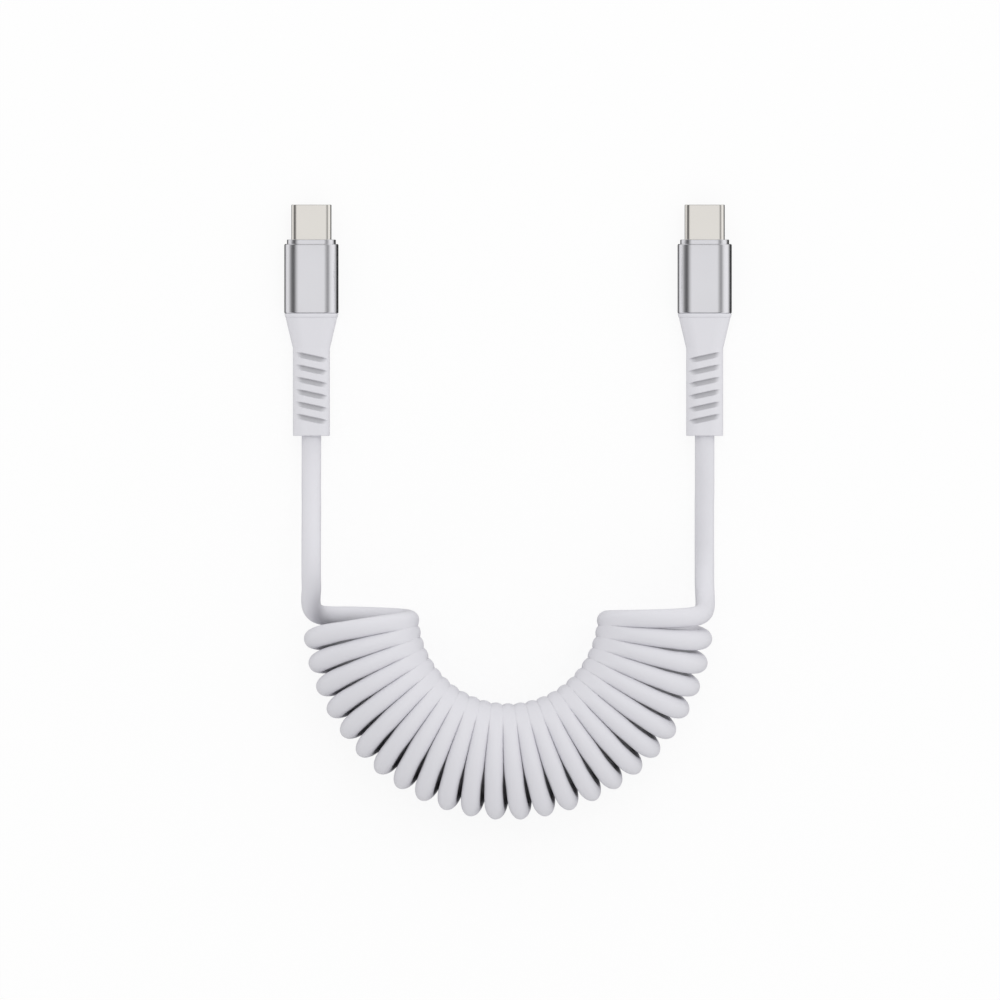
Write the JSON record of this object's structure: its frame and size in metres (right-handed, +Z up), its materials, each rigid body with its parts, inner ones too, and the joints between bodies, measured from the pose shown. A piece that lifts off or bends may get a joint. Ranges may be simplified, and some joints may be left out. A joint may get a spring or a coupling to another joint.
{
  "type": "coiled charging cable",
  "caption": "Coiled charging cable with a reversible metal-sleeved plug on each end, lying flat with the coil bent into a U.",
  "frame": {"origin": "midway between the two plugs along X and at the middle of their length along Y, on the surface they rest on", "axes": "+X from the left plug to the right plug, +Y out of the plugs' tips, +Z up from the surface"},
  "size_m": [0.0922, 0.1266, 0.024],
  "materials": {
    "cord_jacket": "soft matt white jacket",
    "boot_rubber": "moulded matt white rubber",
    "sleeve_metal": "satin anodised silver",
    "collar_metal": "satin anodised silver",
    "shell_nickel": "warm nickel plate",
    "carrier_black": "moulded black",
    "contact_gold": "gold flash",
    "spring_steel": "bare spring steel",
    "board_green": "green solder mask",
    "chip_black": "black moulding compound",
    "capacitor_tan": "fired tan body",
    "conductor_red": "coloured insulation",
    "shield_tin": "tin plate",
    "ferrule_steel": "crimped steel",
    "inner_plastic": "milky hot-melt moulding"
  },
  "bodies": {
    "cord": {"coil": "cord_jacket", "left_lead": "cord_jacket"},
    "right_cord": {"right_lead": "cord_jacket"},
    "left_plug": {"left_plug_shell": "shell_nickel", "left_contact_carrier": "carrier_black", "left_upper_contacts": "contact_gold", "left_lower_contacts": "contact_gold", "left_latch_spring": "spring_steel", "left_ground_springs": "spring_steel", "left_circuit_board": "board_green", "left_marker_chip": "chip_black", "left_capacitors": "capacitor_tan", "left_conductors": "conductor_red", "left_shield_top": "shield_tin", "left_shield_bottom": "shield_tin", "left_crimp_ferrule": "ferrule_steel", "left_inner_moulding": "inner_plastic", "left_front_collar": "collar_metal", "left_housing_sleeve": "sleeve_metal", "left_strain_relief": "boot_rubber", "left_cord_end": "cord_jacket"},
    "right_plug": {"right_plug_shell": "shell_nickel", "right_contact_carrier": "carrier_black", "right_upper_contacts": "contact_gold", "right_lower_contacts": "contact_gold", "right_latch_spring": "spring_steel", "right_ground_springs": "spring_steel", "right_circuit_board": "board_green", "right_marker_chip": "chip_black", "right_capacitors": "capacitor_tan", "right_conductors": "conductor_red", "right_shield_top": "shield_tin", "right_shield_bottom": "shield_tin", "right_crimp_ferrule": "ferrule_steel", "right_inner_moulding": "inner_plastic", "right_front_collar": "collar_metal", "right_housing_sleeve": "sleeve_metal", "right_strain_relief": "boot_rubber", "right_cord_end": "cord_jacket"}
  },
  "joints": [
    {"name": "coil_opening", "type": "hinge", "parent": "cord", "child": "right_cord", "pos_m": [0, -0.0965, 0.012], "axis": [0, 0, -1], "range_deg": [0, 45], "stiffness_Nm_per_rad": 0.01, "deforming": ["coil"]},
    {"name": "left_boot_bend", "type": "hinge", "parent": "cord", "child": "left_plug", "pos_m": [-0.0405, -0.01355, 0.0032], "axis": [0, 0, 1], "range_deg": [-45, 45], "stiffness_Nm_per_rad": 0.01, "deforming": ["left_strain_relief"]},
    {"name": "right_boot_bend", "type": "hinge", "parent": "right_cord", "child": "right_plug", "pos_m": [0.0405, -0.01355, 0.0032], "axis": [0, 0, 1], "range_deg": [-45, 45], "stiffness_Nm_per_rad": 0.01, "deforming": ["right_strain_relief"]}
  ]
}
